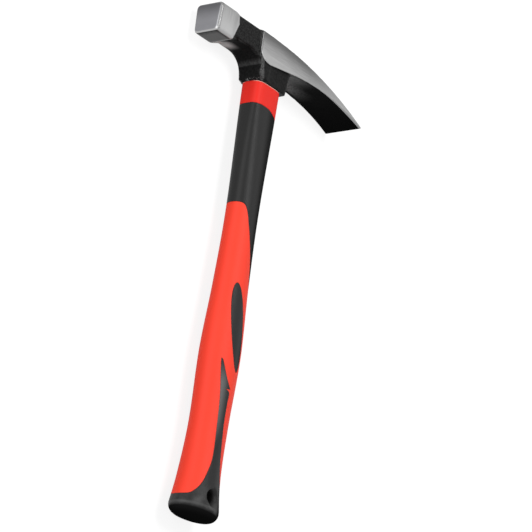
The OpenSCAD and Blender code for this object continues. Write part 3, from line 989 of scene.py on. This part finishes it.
def forged_steel():
    """Black lacquer over forged steel, with the poll and the cheeks ground bright."""
    material, graph, coordinates, finish = new_material("forged steel")
    x, y, z = in_millimetres(graph, coordinates)
    side = abs(z)
    blotches = noise(graph, coordinates, 90.0, 3.0, 0.6)
    fine = noise(graph, coordinates, 900.0, 3.0, 0.6)

    # Ground poll: its rear edge bows back on the sides, and its underside is painted with shade,
    # darkest just behind the face
    ground_x, ground_y = -43.6, 325.6
    above = y - ground_y
    rear = ground_x - 0.37 * larger(-above, 0.0) - 0.19 * larger(above, 0.0)
    poll = fall(x - rear + (fine - 0.5) * 0.6, -0.25, 0.25)
    behind = x + FACE_REACH
    low = y - (TOOL_L - HEAD["Poll height"])
    taper = HEAD["Poll taper"] / HEAD["Poll height"]
    depth = HEAD["Poll width"] / 2 - side - (TOOL_L - y) * taper
    inner = smaller(smaller(low, TOOL_L - y), depth)
    face = fall(behind, 0.4, 0.9)
    bevel = rise(behind, 0.1, 0.4) * rise(inner, 0.1, 0.4) * fall(behind, 1.2, 2.0)
    rim = rise(behind, 1.0, 1.3) * fall(behind, 2.0, 2.8) * rise(low, 0.8, 2.0)
    flats = poll * rise(behind, 1.4, 2.4)
    # Painted shade on the poll's underside: darkest just behind the face's bevel, a little lighter
    # further back
    sole = poll * fall(low, 0.2, 0.9) * fall(behind, 2.2, 6.0)
    shaded_sole = poll * fall(low, 0.2, 0.7) * rise(behind, 0.9, 1.4)
    scale = layers(
        mix_colour(rise(behind, 1.8, 6.0), grey(0.004), grey(0.055)),
        (rise(fine, 0.35, 0.65) * 0.25, grey(0.075)),
    )

    # Ground cheeks: lapped over the lower edge near the tip, with painted shade at the nose and
    # along the top, and painted light towards the lower edge and the tip
    nose_x = HEAD["Cheek front"] - HEAD["Cheek bevel"]
    widen = (BLADE_W - HEAD["Root width"]) / 2 / (BLADE_REACH + nose_x)
    plane = HEAD["Root width"] / 2 + widen * (x + nose_x)
    lapped = 1.3 * rise(x, 45.0, 82.0) * rise(z, 0.0, 4.0)
    cheek = rise(side - plane + lapped + (fine - 0.5) * 0.12, -0.32, -0.2) * rise(x, -21.5, -20.9)
    ground = larger(poll, cheek)
    nose = cheek * fall(x, -18.6, -17.4)
    crest_gap = HEAD["Crest radius"] - distance(
        x + HEAD["Crest place"], y - (TOOL_L - HEAD["Crest drop"] - HEAD["Crest radius"])
    )
    shade = fall(crest_gap, 0.2, 11.0) * (1.0 - poll)

    # Grinding marks: across the poll, along the blade
    across = noise(graph, coordinates, 700.0, 3.0, 0.6, (3.0, 0.12, 0.12))
    along = noise(graph, coordinates, 700.0, 3.0, 0.6, (0.1, 3.0, 1.0), (0.0, 0.0, 0.12))
    marks = across * poll + along * (1.0 - poll)
    bright = layers(
        mix_colour(blotches, grey(0.21), grey(0.25)),
        (rise(marks, 0.3, 0.75) * 0.8, grey(0.33)),
        # Painted light towards the cheek's lower edge and its tip, painted shade along its top and
        # at its nose
        (rise(crest_gap, 9.0, 16.0) * (1.0 - poll) * 0.5, grey(0.4)),
        (shade * (0.8 - 0.4 * rise(x, 20.0, 75.0)), grey(0.06)),
        (rise(x, 20.0, 80.0) * 0.45, grey(0.45)),
        (nose * 0.8, grey(0.07)),
        # Painted light and shade on the poll: its flats lighter low down, its face darker towards
        # the top, the bottom of its bevel lighter than its sides
        (flats * (0.75 - 0.6 * rise(low, 3.0, 20.0)), grey(0.42)),
        (face * 0.75, (0.22, 0.22, 0.238, 1.0)),
        (face * rise(low, 7.0, 20.0) * 0.75, (0.06, 0.06, 0.065, 1.0)),
        (sole * 0.7, grey(0.07)),
        (bevel * 0.9, mix_colour(rise(low, 1.6, 3.2), grey(0.44), grey(0.25))),
        (rim * 0.6, grey(0.13)),
        (shaded_sole, scale),
    )

    # Lacquer over the pitted skin of the forging, darker in front of the boss, with lighter specks
    # near its back edge, a painted highlight down its front edges, painted light at the root of the
    # blade, and edges paler partly from wear and partly as painted highlight
    pits = noise(graph, coordinates, 420.0, 4.0, 0.62)
    specks = rise(noise(graph, coordinates, 760.0, 3.0, 0.7), 0.36, 0.64)
    bend = attribute(graph, "bend")
    # Convex edges paler, partly from wear and partly as painted highlight
    edge_sheen_and_wear = rise(bend + (fine - 0.5) * 0.25, 0.3, 0.75) * rise(blotches, 0.35, 0.65) * 0.3
    up = (y - SEAT_Y) / (HEAD_H - HEAD["Neck drop"])
    front = -x - HEAD["Boss front"] - HEAD["Boss lean"] * up
    flank = side - HEAD["Boss width"] / 2 - HEAD["Boss draft"] * up
    back = x - HEAD["Boss back"] - HEAD["Boss back lean"] * up
    # Painted highlight down the boss's front chamfer, fading towards the top
    chamfer_highlight = rise(front, -3.4, -2.6) * fall(front, 0.9, 1.6) * rise(flank, -1.6, -0.9)
    chamfer_highlight = chamfer_highlight * (1.0 - 0.75 * rise(up, 0.38, 0.6))
    inward = fall(side - plane, -3.2, -2.0) * rise(crest_gap, 3.0, 5.0)
    far = fall(z, -8.0, 4.0)
    # Painted light at the root of the blade, brightest on its far side
    painted_light_and_wear = rise(x, 14.0, 17.0) * inward * (0.4 + specks * 0.6)
    lacquer = layers(
        mix_colour(specks, grey(0.002), grey(0.018)),
        (rise(-front, 2.5, 4.5) * 0.5, grey(0.002)),
        (chamfer_highlight * (0.3 + specks * 0.6), grey(0.1)),
        (rise(back, -3.2, -1.6) * specks * 0.6, grey(0.035)),
        (painted_light_and_wear, mix_colour(far, grey(0.055), grey(0.3))),
        (edge_sheen_and_wear, grey(0.08)),
    )

    # Painted shade: darker, low-gloss lacquer under the neck, in the throat and under the blade,
    # with a painted reflection across the throat, a painted glint behind the poll, painted light
    # under the blade's root, and lighter specks at the seat
    under = rise(x, 22.0, 44.0)
    beneath = fall(side, 6.5, 8.2) * fall(y, 316.8, 317.4)
    beneath = larger(beneath, fall(y - 0.0615 * x, 314.7, 315.3)) * rise(front, -0.3, 0.1)
    # Painted reflection: a paler stretch across the throat
    throat_reflection = rise(y, 308.8, 309.6) * fall(y, 310.2, 313.0) * rise(front, -0.2, 0.2)
    # Painted glint under the neck, just behind the poll
    neck_glint = rise(-x, 27.0, 36.0) * fall(z, -5.0, 2.0) * fall(y, 317.2, 318.0)
    # Painted light under the blade's root, on its far side
    root_light = fall(x, 22.0, 58.0) * inward * far * under
    # Lighter specks on the boss's front, just above the seat
    seat_specks = fall(y, SEAT_Y + 1.2, SEAT_Y + 2.0) * rise(front, -1.0, -0.4) * rise(z, -4.0, -1.0)
    # Painted shade under the neck, in the throat and under the blade
    hollow = layers(
        mix_colour(beneath * (0.5 + specks * 0.5), grey(0.001), grey(0.015)),
        (root_light, mix_colour(specks, grey(0.24), grey(0.5))),
        (throat_reflection * (0.5 + specks * 0.5), grey(0.055)),
        (neck_glint, grey(0.74)),
        (seat_specks * rise(specks, 0.5, 0.9), grey(0.2)),
    )
    rough_skin = bump(graph, pits, 0.35, 0.00035)
    skin = bump(graph, marks, 0.12, 0.00006)
    satin = coat(lacquer, 0.34, rough_skin, specular=0.055)
    dull_shade = coat(hollow, 0.5, rough_skin, specular=0.008)
    steel = coat(bright, 0.34 + marks * 0.14, skin, specular=0.0, Metallic=0.94)
    finish(satin, (larger(under, larger(beneath, neck_glint)), dull_shade), (ground, steel))
    return material


def hard_plastic():
    """Satin black plastic with a fine spark-eroded grain, with painted shade at its back and its
    end, where it is low-gloss and darker.

    Its edges are paler, partly from wear and partly as painted highlight. The forked panel carries
    a painted highlight, the front of the butt's wall painted light among scuff marks, and the
    butt's rim a thin painted highlight.
    """
    material, graph, coordinates, finish = new_material("black plastic")
    grain = noise(graph, coordinates, 2600.0, 2.0, 0.6)
    cloud = noise(graph, coordinates, 60.0, 3.0, 0.55)
    bend = attribute(graph, "bend")
    in_end = attribute(graph, "inset") / BUTT_R
    # Painted shade: the butt's end darker and low-gloss past its rim
    end = rise(in_end, 0.05, 0.2)
    # Painted highlight: a thin paler line just inside the butt's rim
    lip = rise(in_end, 0.002, 0.02) * fall(in_end, 0.03, 0.09)
    x, y, _ = in_millimetres(graph, coordinates)
    # Painted shade: the back of the handle low-gloss and darker
    rear = rise(x + 3.5 * rise(y, 150.0, 190.0), 2.0, 9.0)
    # Painted highlight on the left part of the forked panel
    fork_highlight = rise(-x, -0.5, 6.0) * rise(y, 46.0, 68.0) * fall(y, 88.0, 104.0)
    smear = noise(graph, coordinates, 170.0, 2.0, 0.5)
    # Painted light on the front of the butt's wall, broken up by smeared scuff marks
    scuffs_and_light = fall(y, 4.0, 26.0) * (1.0 - rear)
    # Convex edges paler, partly from wear and partly as painted highlight
    painted_light_and_wear = rise(bend + (grain - 0.5) * 0.3, 0.25, 0.9) * 0.4
    colour = layers(
        mix_colour(cloud, grey(0.007), grey(0.011)),
        (scuffs_and_light * rise(smear, 0.25, 0.75), grey(0.042)),
        (fork_highlight, grey(0.1)),
        (larger(painted_light_and_wear, lip * 0.6), grey(0.07)),
    )
    surface = bump(graph, grain, 0.18, 0.00012)
    satin = coat(colour, 0.48 + (cloud - 0.5) * 0.1, surface, specular=0.19)
    dull_shade = coat(mix_colour(end, grey(0.018), grey(0.009)), 0.65, surface, specular=0.0)
    finish(satin, (larger(end, rear), dull_shade))
    return material


def soft_plastic(name, colour, deep, sheen_and_wear_tone):
    """Soft red plastic: matt and pebbled, paler on its edges partly from wear and partly as painted
    highlight, with a painted highlight where it meets the head.
    """
    material, graph, coordinates, finish = new_material(name)
    pebble = cells(graph, coordinates, 1500.0, "SMOOTH_F1")
    grain = noise(graph, coordinates, 3200.0, 2.0, 0.6)
    cloud = noise(graph, coordinates, 45.0, 3.0, 0.55)
    bend = attribute(graph, "bend")
    _, y, z = in_millimetres(graph, coordinates)
    # Painted highlight along the top edge, where the plastic meets the head
    top_edge_highlight = rise(y, SEAT_Y - 0.8, SEAT_Y - 0.4) * rise(abs(z), 2.0, 6.0)
    tone = layers(
        mix_colour(cloud, deep, colour),
        # Convex edges paler, partly from wear and partly as painted highlight
        (rise(bend + (grain - 0.5) * 0.3, 0.3, 0.9) * 0.3, sheen_and_wear_tone),
        (top_edge_highlight * 0.8, (0.62, 0.45, 0.38, 1.0)),
    )
    rough = 0.56 + (grain - 0.5) * 0.16 + (cloud - 0.5) * 0.08
    surface = bump(graph, grain, 0.12, 0.00008, bump(graph, pebble, 0.12, 0.0001))
    finish(coat(tone, rough, surface, specular=0.2))
    return material


def cast_resin():
    """Dark resin poured round the core, with a few closed bubbles."""
    material, graph, coordinates, finish = new_material("cast resin")
    cloud = noise(graph, coordinates, 300.0, 3.0, 0.5)
    pores = fall(cells(graph, coordinates, 420.0), 0.12, 0.3)
    tone = mix_colour(cloud, grey(0.012), (0.035, 0.031, 0.026, 1.0))
    rough = 0.22 + cloud * 0.2 + pores * 0.3
    surface = bump(graph, 0.6 * cloud - pores, 0.35, 0.0003)
    gloss = {"Coat Weight": 0.25 - pores * 0.2, "Coat Roughness": 0.15}
    finish(coat(tone, rough, surface, **gloss))
    return material


def glass_fibre():
    """Sawn end of the fibreglass core: packed strands in pale resin."""
    material, graph, coordinates, finish = new_material("glass fibre")
    drawn = graph.add("ShaderNodeMapping", {}, {"Vector": coordinates, "Scale": (1.0, 0.01, 1.0)})
    strands = cells(graph, drawn, 1800.0)
    cloud = noise(graph, coordinates, 350.0, 3.0, 0.6)
    saw = noise(graph, coordinates, 800.0, 2.0, 0.5, (0.15, 1.0, 2.0))
    tone = layers(
        mix_colour(cloud, (0.5, 0.43, 0.25, 1.0), (0.7, 0.63, 0.43, 1.0)),
        (rise(strands, 0.2, 0.7) * 0.6, (0.34, 0.27, 0.13, 1.0)),
    )
    finish(coat(tone, 0.5 + strands * 0.3, bump(graph, strands + saw * 0.5, 0.3, 0.0002)))
    return material


def seen_ray(graph):
    """1 for the rays that show a surface to the camera, directly, in gloss or through glass."""
    path = graph.add("ShaderNodeLightPath", {}, {}, "Is Camera Ray")
    return larger(larger(path, path.also("Is Glossy Ray")), path.also("Is Transmission Ray"))


def white_floor():
    """A pale floor that shows as white to the camera and in gloss, and still takes a shadow."""
    material, graph, _, finish = new_material("white floor")
    seen = seen_ray(graph)
    finish({
        "Base Color": grey(0.22),
        "Roughness": 0.9,
        "Specular IOR Level": 0.0,
        "Emission Color": mix_colour(seen, grey(0.0), grey(0.84)),
        "Emission Strength": 1.0,
    })
    return material


# Studio


def add_lamp(name, place, aim, size, power):
    """A soft box at a place, turned to an aim."""
    lamp = bpy.data.lights.new(name, "AREA")
    lamp.shape = "RECTANGLE"
    lamp.size, lamp.size_y = size
    lamp.energy = power
    box = bpy.data.objects.new(name, lamp)
    box.location = place
    box.rotation_mode = "QUATERNION"
    box.rotation_quaternion = (Vector(aim) - Vector(place)).to_track_quat("-Z", "Y")
    bpy.context.scene.collection.objects.link(box)


def add_camera():
    """The photograph's view on a square image: a long lens, rolled until the handle stands up."""
    data = bpy.data.cameras.new("camera")
    data.sensor_width = 36.0
    data.lens = 206.378
    camera = bpy.data.objects.new("camera", data)
    right = Vector((0.592421, 0.143048, 0.792827))
    down = Vector((0.353330, -0.930547, -0.096120))
    away = Vector((0.724014, 0.337073, -0.601819))
    place = Vector((-1.442113, -0.661862, 1.229550))
    turn = Matrix((right, -down, -away)).transposed().to_4x4()
    camera.matrix_world = Matrix.Translation(place) @ turn
    bpy.context.scene.collection.objects.link(camera)
    bpy.context.scene.camera = camera


def set_stage():
    """A pale floor, soft boxes and an even grey surround."""
    bpy.ops.mesh.primitive_plane_add(size=8.0)
    floor = bpy.context.object
    floor.name = "floor"
    floor.data.materials.append(white_floor())
    world = bpy.data.worlds.new("surround")
    world.use_nodes = True
    world.node_tree.nodes.clear()
    graph = Graph(world.node_tree)
    shade = graph.add(
        "ShaderNodeBackground", {}, {"Color": mix_colour(seen_ray(graph), grey(0.4), grey(1.0))}
    )
    graph.add("ShaderNodeOutputWorld", {}, {"Surface": shade})
    bpy.context.scene.world = world
    add_lamp("overhead box", (-0.06, 0.45, 1.25), (0.0, 0.0, 0.0), (0.5, 0.5), 9.0)
    add_lamp("left box", (-1.3, 0.1, 0.36), (0.0, 0.0, 0.0), (1.4, 0.7), 13.0)
    add_lamp("right box", (1.1, 0.5, 0.95), (0.0, 0.1, 0.0), (1.0, 1.0), 0.8)
    bpy.context.scene.view_settings.view_transform = "Standard"


def mount(piece, node):
    """Puts a piece in the place of a CAD node, on the one body."""
    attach(piece, "root")
    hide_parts(node)


add_camera()
set_stage()

head = make_head(forged_steel())
finish_mesh(head, 180)
mount(head, "hammer_head")

skin = cut_skin(seam_lines())
red = soft_plastic(
    "red grip", (0.9, 0.054, 0.026, 1.0), (0.86, 0.046, 0.022, 1.0), (0.95, 0.14, 0.09, 1.0)
)
deep_red = soft_plastic(
    "red collar", (0.76, 0.022, 0.013, 1.0), (0.71, 0.018, 0.01, 1.0), (0.88, 0.12, 0.085, 1.0)
)
for name, panel, material, node, slot in (
    ("jacket", jacket(skin), hard_plastic(), "handle_jacket", "black_plastic"),
    ("grip", inlay(skin, 1), red, "grip_skin", "grip_rubber"),
    ("collar", inlay(skin, 2), deep_red, "neck_collar", "collar_rubber"),
):
    piece = wrap_panel(name, panel, material)
    close_piece(piece)
    finish_mesh(piece, 40)
    mount(piece, node)

for node, material in (("eye_resin", cast_resin()), ("fibreglass_core", glass_fibre())):
    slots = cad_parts[node].data.materials
    slots.clear()
    slots.append(material)
